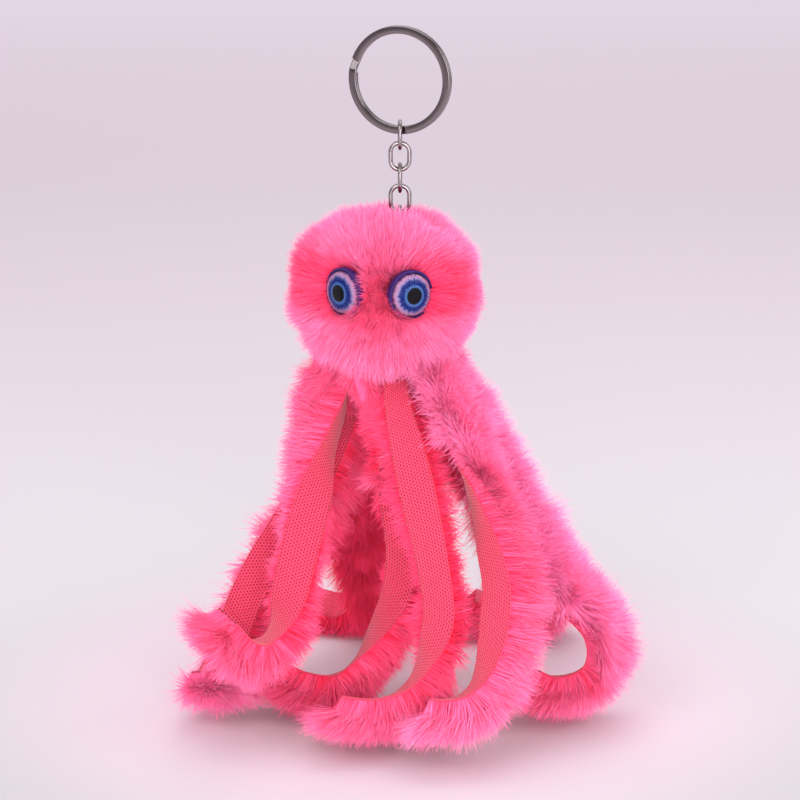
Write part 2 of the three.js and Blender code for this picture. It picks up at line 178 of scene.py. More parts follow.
def new_piece(name, places, faces, finish):
    mesh = bpy.data.meshes.new(name)
    mesh.from_pydata([tuple(p) for p in places], [], [tuple(f) for f in faces])
    mesh.materials.append(finish.material)
    mesh.polygons.foreach_set("use_smooth", [True] * len(mesh.polygons))
    mesh.update()
    piece = bpy.data.objects.new(name, mesh)
    scene.collection.objects.link(piece)
    return piece


# Floor: a pale matt table top that runs on to the horizon, with painted shade that makes it
# darker towards the front. The pink light that the fur throws round the feet is painted on
# it, and it sends light back up under the arms.
floor_side = 9
floor_gap = 0.0003
# Painted shade: the table's colour darkens from the horizon towards the front.
floor_shade_stops = (
    (-0.07, (0.47, 0.445, 0.47)),
    (0.08, (0.56, 0.525, 0.56)),
    (0.52, (0.58, 0.515, 0.565)),
    (0.78, (0.595, 0.53, 0.585)),
    (0.95, (0.63, 0.55, 0.62)),
    (1.73, (0.8, 0.71, 0.8)),
)
# Painted light: the pink light that the fur throws on the table round the feet.
painted_feet_glow = (0.64, 0.53, 0.6)
painted_glow_reach = 0.135
painted_glow_core = 0.06
floor_bounce = (0.88, 0.8, 0.85)
floor_start, floor_end = floor_shade_stops[0][0], floor_shade_stops[-1][0]
floor_finish = Finish("pale_floor", Roughness=0.9, Specular_IOR_Level=0.1)
floor_parts = floor_finish.add("ShaderNodeSeparateXYZ", Vector=floor_finish.place())
floor_flat = floor_finish.add(
    "ShaderNodeCombineXYZ", X=floor_parts.outputs["X"], Y=floor_parts.outputs["Y"]
)
from_feet = floor_finish.vector("LENGTH", floor_flat.outputs["Vector"])
floor_shade = floor_finish.ramp(
    floor_finish.share_of(floor_parts.outputs["Y"], floor_start, floor_end),
    [((place - floor_start) / (floor_end - floor_start), shade) for place, shade in floor_shade_stops],
)
painted_glow_share = floor_finish.share_of(
    from_feet, painted_glow_reach, painted_glow_core, curve="SMOOTHSTEP"
)
floor_seen = floor_finish.add("ShaderNodeLightPath").outputs["Is Camera Ray"]
floor_colour = floor_finish.mixed(painted_glow_share, floor_shade, painted_feet_glow)
# Camera rays see the painted shade and the painted pink glow; all other rays see the plain
# floor_bounce colour.
floor_finish.show(Base_Color=floor_finish.mixed(floor_seen, floor_bounce, floor_colour))
floor = new_piece(
    "floor",
    [
        (x * floor_side, y * floor_side, table_height - floor_gap)
        for x, y in ((-1, -1), (1, -1), (1, 1), (-1, 1))
    ],
    [(0, 1, 2, 3)],
    floor_finish,
)

lamps = (
    ("key_lamp", (-0.55, -0.75, 0.75), 0.7, 5.0),
    ("fill_lamp", (0.8, -0.5, 0.45), 0.8, 4.0),
    ("front_lamp", (0.1, -1.0, 0.15), 0.6, 8.0),
    ("top_lamp", (0.1, 0.25, 1.0), 0.9, 4.0),
)
for name, place, side, power in lamps:
    lamp = bpy.data.objects.new(name, bpy.data.lights.new(name, "AREA"))
    lamp.data.size = side
    lamp.data.energy = power
    lamp.location = camera_aim + Vector(place)
    lamp.rotation_euler = (-Vector(place)).to_track_quat("-Z", "Y").to_euler()
    scene.collection.objects.link(lamp)
room_front, room_back = (0.35, 0.33, 0.35), (1, 0.98, 1)
room_fade = (-0.9, 0.2)
room = bpy.data.worlds.new("studio")
room.use_nodes = True
sky = NodeTree(room.node_tree)
sky_way = sky.add("ShaderNodeTexCoord").outputs["Generated"]
sky_parts = sky.add("ShaderNodeSeparateXYZ", Vector=sky_way)
sky_share = sky.share_of(sky_parts.outputs["Y"], *room_fade)
sky.give(
    room.node_tree.nodes["Background"],
    Color=sky.ramp(sky_share, ((0, room_front), (1, room_back))),
    Strength=1.1,
)
scene.world = room

# Split ring: flat steel wire wound twice round and plated to a dark mirror. The turns
# part at one place, where the wire steps across and both of its ends are cut square.
ring_radius = 0.015
ring_band = 0.0022
ring_wire_thickness = 0.001
ring_turn_gap = 0.00015
ring_edge = 0.00028
ring_yaw = math.radians(-21)
ring_split_turn = 158
ring_step_span = 14
ring_end_gap = 2
ring_steps = 288
ring_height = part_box("split_ring")[1][2] - ring_radius


def smoothstep(value, start, end):
    share = np.clip((value - start) / (end - start), 0, 1)
    return share * share * (3 - 2 * share)


def lofted(rings):
    """Corners and faces of a skin over rings, which are stacked arrays of corners."""
    count, sides, _ = rings.shape
    faces = []
    for ring in range(count - 1):
        for side in range(sides):
            following = (side + 1) % sides
            a, b = ring * sides + side, ring * sides + following
            faces.append((a, b, b + sides, a + sides))
    faces.append(tuple(range(sides - 1, -1, -1)))
    faces.append(tuple((count - 1) * sides + side for side in range(sides)))
    return rings.reshape(-1, 3), faces


def rounded_section(wide, high, edge, corner_steps=3):
    """A rectangle with round corners, counterclockwise, about its own middle."""
    outline = []
    for corner in range(4):
        middle_across = (wide / 2 - edge) * (1 if corner in (0, 3) else -1)
        middle_up = (high / 2 - edge) * (1 if corner in (0, 1) else -1)
        for step in range(corner_steps + 1):
            turn = math.pi / 2 * (corner + step / corner_steps)
            outline.append(
                (middle_across + edge * math.cos(turn), middle_up + edge * math.sin(turn))
            )
    return np.array(outline)


ring_section = rounded_section(ring_band, ring_wire_thickness, ring_edge)
ring_angles = np.linspace(0, 720 - ring_step_span - ring_end_gap, ring_steps)
ring_depths = (ring_wire_thickness + ring_turn_gap) * (
    smoothstep(ring_angles, 360 - ring_step_span, 360) - 0.5
)
ring_turns = np.radians(ring_split_turn - ring_angles)
ring_reach = ring_radius - ring_band / 2 + ring_section[:, 0]
ring_across = np.cos(ring_turns)[:, None] * ring_reach
ring_depth = ring_depths[:, None] + ring_section[:, 1]
ring_up = np.sin(ring_turns)[:, None] * ring_reach
ring_loops = np.stack(
    [
        ring_across * math.cos(ring_yaw) - ring_depth * math.sin(ring_yaw),
        ring_across * math.sin(ring_yaw) + ring_depth * math.cos(ring_yaw),
        ring_up + ring_height,
    ],
    axis=2,
)


def steel_finish(name, colour, scratch_scale, roughness=0.1):
    """Plated steel: fine polishing scratches and faint smudges change its gloss."""
    steel = Finish(name, Base_Color=colour, Roughness=roughness, Metallic=1.0)
    smudge = steel.grain(Vector=steel.place(), Scale=scratch_scale, Detail=6)
    scratch = steel.grain(Vector=steel.place(), Scale=scratch_scale * 6, Detail=3)
    steel.show(
        Roughness=steel.share_of(smudge, 0.3, 0.7, roughness * 0.6, roughness * 1.6),
        Normal=steel.relief(scratch, 0.0001, 0.05),
    )
    return steel


def weld_and_face_out(piece, weld_distance=1e-7):
    work = bmesh.new()
    work.from_mesh(piece.data)
    bmesh.ops.remove_doubles(work, verts=work.verts, dist=weld_distance)
    bmesh.ops.recalc_face_normals(work, faces=work.faces)
    work.to_mesh(piece.data)
    work.free()


ring_steel = steel_finish("ring_steel", (0.135, 0.115, 0.12), 300)
split_ring = new_piece("split_ring_wire", *lofted(ring_loops), ring_steel)
weld_and_face_out(split_ring)
split_ring.data.set_sharp_from_angle(angle=math.radians(40))
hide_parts("split_ring")
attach(split_ring, "key_ring")

# Chain: oval links of round steel wire, butted and closed by hand, each turned a
# quarter from the next. A geometry tree bends the wire; every link is a piece of its own.
link_sizes = {"Length": 0.0088, "Width": 0.0065, "Wire": 0.00125}
link_count = 5


class GeometryTree(NodeTree):
    """A geometry tree with named inputs, which a finished piece's mesh comes out of."""

    def __init__(self, name, inputs):
        super().__init__(bpy.data.node_groups.new(name, "GeometryNodeTree"))
        self.group.is_modifier = True
        face = self.group.interface
        face.new_socket("Geometry", in_out="INPUT", socket_type="NodeSocketGeometry")
        for label, kind in inputs:
            face.new_socket(label, in_out="INPUT", socket_type="NodeSocket" + kind)
        face.new_socket("Geometry", in_out="OUTPUT", socket_type="NodeSocketGeometry")
        self.start = self.add("NodeGroupInput")
        self.end = self.add("NodeGroupOutput")

    def given(self, label):
        return self.start.outputs[label]

    def named(self, label, kind="FLOAT"):
        return self.add(
            "GeometryNodeInputNamedAttribute", {"data_type": kind}, Name=label
        ).outputs["Attribute"]

    def store(self, geometry, label, value, kind="FLOAT", domain="POINT"):
        return self.add(
            "GeometryNodeStoreNamedAttribute",
            {"data_type": kind, "domain": domain},
            Geometry=geometry,
            Name=label,
            Value=value,
        ).outputs["Geometry"]

    def run(self, piece, inputs):
        """Runs the tree on a piece and keeps its result as the piece's plain mesh."""
        modifier = piece.modifiers.new("make", "NODES")
        modifier.node_group = self.group
        for item in self.group.interface.items_tree:
            if item.item_type == "SOCKET" and item.in_out == "INPUT" and item.name in inputs:
                modifier[item.identifier] = inputs[item.name]
        evaluated = piece.evaluated_get(bpy.context.evaluated_depsgraph_get())
        made = bpy.data.meshes.new_from_object(evaluated)
        piece.modifiers.remove(modifier)
        piece.data = made
        made.name = piece.name


link_tree = GeometryTree(
    "Bent wire link",
    [("Length", "Float"), ("Width", "Float"), ("Wire", "Float"), ("Finish", "Material")],
)
length, width, wire = (link_tree.given(label) for label in ("Length", "Width", "Wire"))
bend = link_tree.number("MULTIPLY", link_tree.number("SUBTRACT", width, wire), 0.5)
straight = link_tree.number("MULTIPLY", link_tree.number("SUBTRACT", length, width), 0.5)
round_path = link_tree.add("GeometryNodeCurvePrimitiveCircle", Resolution=72, Radius=bend)
path_place = link_tree.add("GeometryNodeInputPosition").outputs["Position"]
path_parts = link_tree.add("ShaderNodeSeparateXYZ", Vector=path_place)
end_side = link_tree.number("SIGN", path_parts.outputs["Y"])
pull = link_tree.number("MULTIPLY", end_side, straight)
pulled_apart = link_tree.add(
    "GeometryNodeSetPosition",
    Geometry=round_path.outputs["Curve"],
    Offset=link_tree.add("ShaderNodeCombineXYZ", Y=pull).outputs["Vector"],
)
wire_section = link_tree.add(
    "GeometryNodeCurvePrimitiveCircle",
    Resolution=18,
    Radius=link_tree.number("MULTIPLY", wire, 0.5),
)
bent_wire = link_tree.add(
    "GeometryNodeCurveToMesh",
    Curve=pulled_apart.outputs["Geometry"],
    Profile_Curve=wire_section.outputs["Curve"],
)
smooth_wire = link_tree.add("GeometryNodeSetShadeSmooth", Geometry=bent_wire.outputs["Mesh"])
whole_link = link_tree.add("GeometryNodeRealizeInstances", Geometry=smooth_wire.outputs[0])
finished_link = link_tree.add(
    "GeometryNodeSetMaterial",
    Geometry=whole_link.outputs["Geometry"],
    Material=link_tree.given("Finish"),
)
link_tree.give(link_tree.end, Geometry=finished_link.outputs["Geometry"])


def positions_of(mesh):
    places = np.empty(len(mesh.vertices) * 3, dtype=np.float32)
    mesh.vertices.foreach_get("co", places)
    return places.reshape(-1, 3).astype(float)


def set_positions(mesh, places):
    mesh.vertices.foreach_set("co", places.astype(np.float32).ravel())
    mesh.update()


def bent_link(name, sizes, finish, middle, edge_on):
    """A closed link of wire that stands upright, with its flat or its edge to the front."""
    link = new_piece(name, [], [], finish)
    link_tree.run(link, {**sizes, "Finish": finish.material})
    across, up, depth = positions_of(link.data).T
    standing = (depth, -across, up) if edge_on else (across, -depth, up)
    set_positions(link.data, np.stack(standing, axis=1) + middle)
    weld_and_face_out(link)
    return link


link_steel = steel_finish("link_steel", (0.22, 0.19, 0.2), 600)
for number in range(1, link_count + 1):
    middle = np.mean(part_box(f"chain_link_{number}"), axis=0)
    link = bent_link(f"link_{number}_wire", link_sizes, link_steel, middle, number % 2 == 1)
    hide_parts(f"chain_link_{number}")
    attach(link, f"link_{number}")

# Knit and thread: the strips, the head's shell and the disc below it are one warp-knit
# backing, dyed with the pile. Rows of stitches run down it with small holes between, and
# shade is painted in the holes. The thread and the cord are dyed to match, with painted
# shade in the grooves of the thread's twist.
knit_stitch_width = 0.00088
knit_stitch_length = 0.00098
knit_relief = 0.00022
stitch_slant = 0.9
stitch_relief = 0.12
hole_squeeze_across, hole_squeeze_along = 3.0, 3.3
hole_sharpness = 2.4


def knit_group():
    """Mask of the holes, which take painted shade, and height of a warp knit, from coordinates
    counted in stitches.
    """
    group = bpy.data.node_groups.new("Warp knit", "ShaderNodeTree")
    group.interface.new_socket("Stitches", in_out="INPUT", socket_type="NodeSocketVector")
    group.interface.new_socket("Height", in_out="OUTPUT", socket_type="NodeSocketFloat")
    group.interface.new_socket("Hole", in_out="OUTPUT", socket_type="NodeSocketFloat")
    knit = NodeTree(group)
    number = knit.number
    given = knit.add("NodeGroupInput").outputs["Stitches"]
    across, along, _ = knit.add("ShaderNodeSeparateXYZ", Vector=given).outputs
    odd = number("MULTIPLY", number("FLOORED_MODULO", number("FLOOR", across), 2.0), 0.5)
    across = number("SUBTRACT", number("FRACT", across), 0.5)
    along = number("SUBTRACT", number("FRACT", number("ADD", along, odd)), 0.5)
    slant = number("ADD", along, number("MULTIPLY", number("ABSOLUTE", across), stitch_slant))
    rib = number("COSINE", number("MULTIPLY", across, 2 * math.pi))
    strand = number("COSINE", number("MULTIPLY", slant, 2 * math.pi))
    far = number(
        "ADD",
        number("POWER", number("MULTIPLY", across, hole_squeeze_across), 2.0),
        number("POWER", number("MULTIPLY", along, hole_squeeze_along), 2.0),
    )
    hole = number("MAXIMUM", number("SUBTRACT", 1.0, far), 0.0)
    hole = number("MINIMUM", number("MULTIPLY", hole, hole_sharpness), 1.0)
    yarn = number(
        "ADD",
        number("MULTIPLY", rib, -stitch_relief),
        number("MULTIPLY", strand, stitch_relief),
    )
    knit.add("NodeGroupOutput", Height=number("SUBTRACT", yarn, hole), Hole=hole)
    return group


warp_knit = knit_group()


def knit_finish(name, lit, shaded, uv_name=None):
    """Dyed knit with painted shade in its holes: stitches from the cloth's own map, or from the
    object's coordinates.
    """
    cloth = Finish(
        name, Base_Color=lit, Roughness=0.85, Sheen_Weight=0.25, Specular_IOR_Level=0.2
    )
    if uv_name:
        stitches = cloth.add("ShaderNodeUVMap", {"uv_map": uv_name}).outputs["UV"]
    else:
        scale = (1 / knit_stitch_width, 1 / knit_stitch_length, 1 / knit_stitch_length)
        stitches = cloth.vector("MULTIPLY", cloth.place(), scale)
    knit = cloth.add("ShaderNodeGroup", {"node_tree": warp_knit}, Stitches=stitches)
    fuzz = cloth.grain(Vector=cloth.place(), Scale=900)
    fuzzy = cloth.mixed(fuzz, lit, tuple(0.6 * a + 0.4 * b for a, b in zip(lit, shaded)))
    # Painted shade: the holes between the stitches take the shaded colour.
    cloth.show(
        Base_Color=cloth.mixed(knit.outputs["Hole"], fuzzy, shaded),
        Normal=cloth.relief(knit.outputs["Height"], knit_relief, 0.7),
    )
    return cloth


def set_finish(node_name, finish):
    """Gives a CAD node that stays its finish."""
    node = nodes[node_name]
    node.data.materials.clear()
    node.data.materials.append(finish.material)


shell_knit = knit_finish("shell_knit", (0.86, 0.1, 0.24), (0.5, 0.02, 0.08))

thread_pink = (0.8, 0.08, 0.2)
pink_thread = Finish("pink_thread", Base_Color=thread_pink, Roughness=0.75)
twist_and_shade = pink_thread.add(
    "ShaderNodeTexWave", {"bands_direction": "DIAGONAL"}, Vector=pink_thread.place(), Scale=600
).outputs["Fac"]
# Painted shade: the grooves of the twist take 0.55 of the thread's colour.
pink_thread.show(
    Base_Color=pink_thread.mixed(twist_and_shade, tuple(0.55 * part for part in thread_pink), thread_pink),
    Normal=pink_thread.relief(twist_and_shade, 0.0002),
)
set_finish("draw_thread", pink_thread)

white_stuffing = Finish("white_stuffing", Base_Color=(0.88, 0.87, 0.84), Roughness=1.0)
stuffing_lumps = white_stuffing.grain(Vector=white_stuffing.place(), Scale=400)
white_stuffing.show(Normal=white_stuffing.relief(stuffing_lumps, 0.0008))
set_finish("head_stuffing", white_stuffing)

# Head's shell: a ball of the knit, drawn in below by a thread round a stuffed filling and
# closed by a sewn disc. A cord loop, knotted under the shell, comes out of its crown.
head_width = 0.0558
head_height = 0.049
head_sink = head_height * 0.347
head_half_width = 0.0175
head_half_height = 0.0141
shell_wall = 0.0008
crown_hole = 0.0014
disc_gap = 0.0003
disc_radius = 0.0126
disc_edge = 0.0004
loop_cord = 0.0012
loop_width = 0.0054
knot_radius = 0.0039
knot_pole = 0.1
disc_low, disc_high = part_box("base_disc")[0][2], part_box("base_disc")[1][2]
shell_low, shell_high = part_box("head_backing")
head_middle = Vector(
    ((shell_low[0] + shell_high[0]) / 2, 0, disc_low - disc_gap + head_sink)
)


def turned_upright(name, profile, middle, finish, steps=96):
    """A [radius, height] profile turned about an upright axis through a middle."""
    turns = np.linspace(0, 2 * math.pi, steps, endpoint=False)
    rings = [
        [(middle.x + radius * math.cos(t), middle.y + radius * math.sin(t), height) for t in turns]
        for radius, height in profile
    ]
    piece = new_piece(name, *lofted(np.array(rings)), finish)
    weld_and_face_out(piece)
    piece.data.set_sharp_from_angle(angle=math.radians(50))
    return piece


shell_shoulder = math.acos(disc_radius / head_half_width)
shell_crown = math.acos(crown_hole / head_half_width)
shell_profile = [(disc_radius, shell_low[2])]
for turn in np.linspace(-shell_shoulder, shell_crown, 40):
    shell_profile.append(
        (head_half_width * math.cos(turn), head_middle.z + head_half_height * math.sin(turn))
    )
inner_hole = crown_hole * 0.9
inner_profile = [
    (max(radius - shell_wall, inner_hole), height - shell_wall * (height > head_middle.z))
    for radius, height in reversed(shell_profile)
]
shell_profile += inner_profile + [shell_profile[0]]
head_shell = turned_upright("head_shell", shell_profile, head_middle, shell_knit)
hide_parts("head_backing")

disc_profile = [
    (disc_radius - disc_edge, disc_low),
    (disc_radius, disc_low + disc_edge),
    (disc_radius, disc_high - disc_edge),
    (disc_radius - disc_edge, disc_high),
]
sewn_disc = turned_upright("sewn_disc", disc_profile, head_middle, shell_knit)
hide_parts("base_disc")

loop_low, loop_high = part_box("hanging_loop")
knot_height = loop_low[2] + knot_radius
loop_length = loop_high[2] - knot_height
loop_middle = np.array([0, 0, loop_high[2] - loop_length / 2])
loop_sizes = {"Length": loop_length, "Width": loop_width, "Wire": loop_cord}
cord_loop = bent_link("cord_loop", loop_sizes, pink_thread, loop_middle, False)
knot_profile = [
    (knot_radius * math.cos(turn), knot_height + knot_radius * math.sin(turn))
    for turn in np.linspace(-math.pi / 2 + knot_pole, math.pi / 2 - knot_pole, 13)
]
cord_knot = turned_upright("cord_knot", knot_profile, Vector(), pink_thread, 32)
for piece in (cord_loop, cord_knot):
    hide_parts("hanging_loop")
for piece in (head_shell, sewn_disc, cord_loop, cord_knot):
    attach(piece, "head")

# Eyes: each is a navy plastic cup on a shank, pushed through the shell and held by a
# washer inside. A printed disc lies in the cup under a clear dome.
eye_diameter = 0.0138
eye_rim_width = 0.0007
eye_rim_round = 0.0002
eye_rim_corner = 0.00015
eye_lip = 0.0001
eye_cup_depth = 0.0026
eye_disc_thickness = 0.0006
eye_fit = 0.0003
eye_dome_height = 0.0032
eye_shank_diameter = 0.003
eye_shank_length = 0.0078
eye_face_turn = -10
eye_spread = 24.5
eye_look_turn = -7.5
eye_turn = 38.5
eye_print_rise = 0.0019
eye_reach = head_width * 0.35
eye_rise = head_height * 0.07


def eye_place(side):
    """The middle of a cup's back, and the way that the eye looks."""
    around = math.radians(eye_face_turn + side * eye_spread)
    look = math.radians(eye_look_turn + side * eye_turn)
    middle = head_middle + Vector(
        (math.sin(around) * eye_reach, -math.cos(around) * eye_reach, eye_rise)
    )
    return middle, Vector((math.sin(look), -math.cos(look), 0))


def turned_piece(name, profile, side, finish, steps=96):
    """A [radius, height] profile turned about an eye's own axis."""
    middle, look = eye_place(side)
    up = Vector((0, 0, 1))
    across = up.cross(look)
    loops = []
    for step in range(steps):
        turn = 2 * math.pi * step / steps
        out = across * math.cos(turn) + up * math.sin(turn)
        loops.append([middle + out * radius + look * height for radius, height in profile])
    loops.append(loops[0])
    rows = np.array(loops)
    count = rows.shape[1]
    faces = []
    for row in range(steps):
        for step in range(count - 1):
            a = row * count + step
            faces.append((a, a + 1, a + 1 + count, a + count))
    piece = new_piece(name, rows.reshape(-1, 3), faces, finish)
    weld_and_face_out(piece)
    piece.data.set_sharp_from_angle(angle=math.radians(40))
    return piece


def dome_arc(radius, floor, rise, steps=20):
    """A quarter of an oval, from its rim up to its top."""
    turns = [math.pi / 2 * step / steps for step in range(steps + 1)]
    return [(radius * math.cos(turn), floor + rise * math.sin(turn)) for turn in turns]


iris_radius = eye_diameter / 2 - eye_rim_width - eye_fit
iris_stops = (
    (0.0, (0.003, 0.002, 0.003)),
    (0.38, (0.003, 0.002, 0.003)),
    (0.41, (0.05, 0.11, 0.26)),
    (0.5, (0.03, 0.08, 0.26)),
    (0.55, (0.002, 0.006, 0.1)),
    (0.72, (0.004, 0.016, 0.13)),
    (0.8, (0.17, 0.15, 0.31)),
    (0.86, (0.38, 0.18, 0.31)),
    (0.96, (0.36, 0.15, 0.26)),
    (1.0, (0.04, 0.01, 0.12)),
)
iris_glitter = (0.75, 0.85, 1)


def iris_finish(side, word):
    """Printed rings round the eye's axis, ragged outside the pupil and set with glitter."""
    iris = Finish(
        f"eye_print_{word}", Base_Color=(0.1, 0.3, 0.8), Roughness=0.6, Specular_IOR_Level=0.1
    )
    middle, look = eye_place(side)
    centred = iris.vector("SUBTRACT", iris.place(), middle)
    flat = iris.vector("SUBTRACT", centred, iris.vector("PROJECT", centred, look))
    plain_share = iris.number("DIVIDE", iris.vector("LENGTH", flat), iris_radius)
    grain = iris.grain(Vector=iris.vector("NORMALIZE", flat), Scale=16, Detail=4, Roughness=0.7)
    share = iris.number(
        "MULTIPLY_ADD",
        iris.number("SUBTRACT", grain, 0.5),
        iris.share_of(plain_share, 0.5, 0.7, 0, 0.6),
        plain_share,
    )
    specks = iris.add("ShaderNodeTexVoronoi", Vector=flat, Scale=2600).outputs["Distance"]
    glitter = iris.number(
        "MULTIPLY", iris.share_of(specks, 0.16, 0.08, 0, 0.55), iris.share_of(share, 0.56, 0.6)
    )
    iris.show(Base_Color=iris.mixed(glitter, iris.ramp(share, iris_stops), iris_glitter))
    return iris


navy_plastic = Finish(
    "navy_plastic", Base_Color=(0.025, 0.015, 0.13), Roughness=0.45, Specular_IOR_Level=0.2
)
navy_grain = navy_plastic.grain(Vector=navy_plastic.place(), Scale=1500)
navy_plastic.show(
    Base_Color=navy_plastic.mixed(navy_grain, (0.014, 0.005, 0.06), (0.035, 0.012, 0.13))
)
clear_dome = Finish(
    "clear_dome",
    Base_Color=(0.97, 0.98, 1),
    Roughness=0.02,
    Transmission_Weight=1.0,
    IOR=1.08,
    Specular_IOR_Level=0.15,
)
white_washer = Finish("white_washer", Base_Color=(0.85, 0.85, 0.82), Roughness=0.5)

for side, word in ((-1, "left"), (1, "right")):
    outer = eye_diameter / 2
    bowl = outer - eye_rim_width
    shank = eye_shank_diameter / 2
    cup_profile = [
        (0, -eye_shank_length),
        (shank, -eye_shank_length),
        (shank, 0),
        (bowl, 0),
        (outer - eye_rim_corner, eye_rim_width - eye_rim_corner),
        (outer, eye_rim_width + eye_rim_round),
        (outer, eye_cup_depth - eye_rim_round),
        (outer - eye_rim_round, eye_cup_depth),
        (bowl + eye_lip, eye_cup_depth),
        (bowl, eye_cup_depth - eye_lip),
        (bowl, eye_cup_depth / 2),
        (0, eye_cup_depth / 2),
    ]
    cup = turned_piece(f"eye_cup_{word}_shell", cup_profile, side, navy_plastic)
    disc_floor = eye_cup_depth / 2 + eye_fit
    disc_top = disc_floor + eye_disc_thickness
    disc_profile = [(0, disc_floor), (iris_radius, disc_floor)]
    disc_profile += dome_arc(iris_radius, disc_top, eye_print_rise)
    disc = turned_piece(f"eye_print_{word}", disc_profile, side, iris_finish(side, word))
    dome_floor = disc_top + eye_fit
    dome_profile = dome_arc(iris_radius - eye_rim_round, dome_floor - eye_lip, eye_print_rise)
    dome_profile = dome_profile[::-1] + dome_arc(iris_radius, dome_floor, eye_dome_height)
    dome = turned_piece(f"eye_lens_{word}", dome_profile, side, clear_dome)
    for piece, node_name, slot in (
        (cup, f"eye_cup_{word}", "navy_plastic"),
        (disc, f"eye_disc_{word}", "blue_print"),
        (dome, f"eye_dome_{word}", "clear_plastic"),
    ):
        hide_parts(node_name)
        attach(piece, "head")
    set_finish(f"eye_washer_{word}", white_washer)

# Pile: fine dyed fibres that stand in the knit and gather in soft locks. Their colour runs
# darker at the root than at the tip: painted shade deep in the pile and painted light on the
# tips. A geometry tree grows them from the backing, each as a thin blade.
# The colour map of a blade runs from root to tip, with one column for each tone.
pile_tones = 48
blade_rows = 3
blade_width = 0.00022
blade_taper = 0.8
blade_map_width, blade_map_start, blade_map_height = 0.6, 0.02, 0.96
swell_scale = 120.0
matted_shade_tone, matted_height, matted_mottle = 0.35, 0.4, 0.1

pile_tree = GeometryTree(
    "Pile",
    [
        ("Density", "Float"),
        ("Blade width", "Float"),
        ("Stray", "Float"),
        ("Uneven", "Float"),
        ("Lock size", "Float"),
        ("Locking", "Float"),
        ("Wave", "Float"),
        ("Seed", "Int"),
        ("Finish", "Material"),
    ],
)
scatter = pile_tree.add(
    "GeometryNodeDistributePointsOnFaces",
    Mesh=pile_tree.given("Geometry"),
    Density=pile_tree.number("MULTIPLY", pile_tree.given("Density"), pile_tree.named("thick")),
    Seed=pile_tree.given("Seed"),
)
roots = scatter.outputs["Points"]
place = pile_tree.add("GeometryNodeInputPosition").outputs["Position"]
spin = pile_tree.add("FunctionNodeRandomValue", {"data_type": "FLOAT_VECTOR"})
pile_tree.feed(spin, spin.inputs[0], (-1, -1, -1))
pile_tree.feed(spin, spin.inputs[1], (1, 1, 1))
luck = pile_tree.add("FunctionNodeRandomValue", {"data_type": "FLOAT"}, Seed=7)
roots = pile_tree.store(roots, "root", place, "FLOAT_VECTOR")
roots = pile_tree.store(roots, "spin", spin.outputs[0], "FLOAT_VECTOR")
roots = pile_tree.store(roots, "luck", luck.outputs[1])
blade = pile_tree.add("GeometryNodeMeshGrid")
for socket, value in zip(blade.inputs, (1.0, 1.0, 2, blade_rows)):
    pile_tree.feed(blade, socket, value)
planted = pile_tree.add(
    "GeometryNodeInstanceOnPoints", Points=roots, Instance=blade.outputs["Mesh"]
)
grown = pile_tree.add("GeometryNodeRealizeInstances", Geometry=planted.outputs["Instances"])
root = pile_tree.named("root", "FLOAT_VECTOR")
stand = pile_tree.named("stand", "FLOAT_VECTOR")
comb = pile_tree.named("comb", "FLOAT_VECTOR")
spun = pile_tree.named("spin", "FLOAT_VECTOR")
chance = pile_tree.named("luck")
reach = pile_tree.named("pile")
local = pile_tree.add("ShaderNodeSeparateXYZ", Vector=pile_tree.vector("SUBTRACT", place, root))
along = pile_tree.number("ADD", local.outputs["Y"], 0.5)
end_way = pile_tree.vector(
    "NORMALIZE",
    pile_tree.vector("ADD", comb, pile_tree.scaled(spun, pile_tree.given("Stray"))),
)
shortened = pile_tree.number("MULTIPLY", chance, pile_tree.given("Uneven"))
length = pile_tree.number("MULTIPLY", reach, pile_tree.number("SUBTRACT", 1.0, shortened))
squared = pile_tree.number("MULTIPLY", along, along)
rising = pile_tree.number("SUBTRACT", along, squared)
bow = pile_tree.scaled(stand, pile_tree.number("MULTIPLY", length, rising))
lean = pile_tree.scaled(end_way, pile_tree.number("MULTIPLY", length, squared))
guide = pile_tree.vector("ADD", root, pile_tree.scaled(comb, reach))
lock = pile_tree.add(
    "ShaderNodeTexVoronoi",
    Vector=guide,
    Scale=pile_tree.number("DIVIDE", 1.0, pile_tree.given("Lock size")),
)
to_lock = pile_tree.scaled(
    pile_tree.vector("SUBTRACT", lock.outputs["Position"], guide),
    pile_tree.number("MULTIPLY", pile_tree.given("Locking"), squared),
)
swell = pile_tree.add("ShaderNodeTexNoise", Vector=guide, Scale=swell_scale)
swing = pile_tree.scaled(
    pile_tree.vector("SUBTRACT", swell.outputs["Color"], (0.5, 0.5, 0.5)),
    pile_tree.number("MULTIPLY", pile_tree.given("Wave"), squared),
)
side = pile_tree.vector("NORMALIZE", pile_tree.vector("CROSS_PRODUCT", end_way, spun))
taper = pile_tree.number("SUBTRACT", 1.0, pile_tree.number("MULTIPLY", squared, blade_taper))
breadth = pile_tree.number(
    "MULTIPLY",
    pile_tree.number("MULTIPLY", local.outputs["X"], taper),
    pile_tree.given("Blade width"),
)
grown_place = pile_tree.vector("ADD", pile_tree.vector("ADD", root, bow), lean)
grown_place = pile_tree.vector("ADD", grown_place, pile_tree.vector("ADD", to_lock, swing))
grown_place = pile_tree.vector("ADD", grown_place, pile_tree.scaled(side, breadth))
column = pile_tree.number(
    "FLOOR", pile_tree.number("MULTIPLY", pile_tree.named("tone"), float(pile_tones - 1))
)
off_column = pile_tree.number("MULTIPLY", local.outputs["X"], blade_map_width)
map_across = pile_tree.number(
    "DIVIDE", pile_tree.number("ADD", off_column, column), float(pile_tones)
)
map_up = pile_tree.number("MULTIPLY", along, blade_map_height)
map_place = pile_tree.add(
    "ShaderNodeCombineXYZ",
    X=pile_tree.number("ADD", map_across, 0.5 / pile_tones),
    Y=pile_tree.number("ADD", map_up, blade_map_start),
)
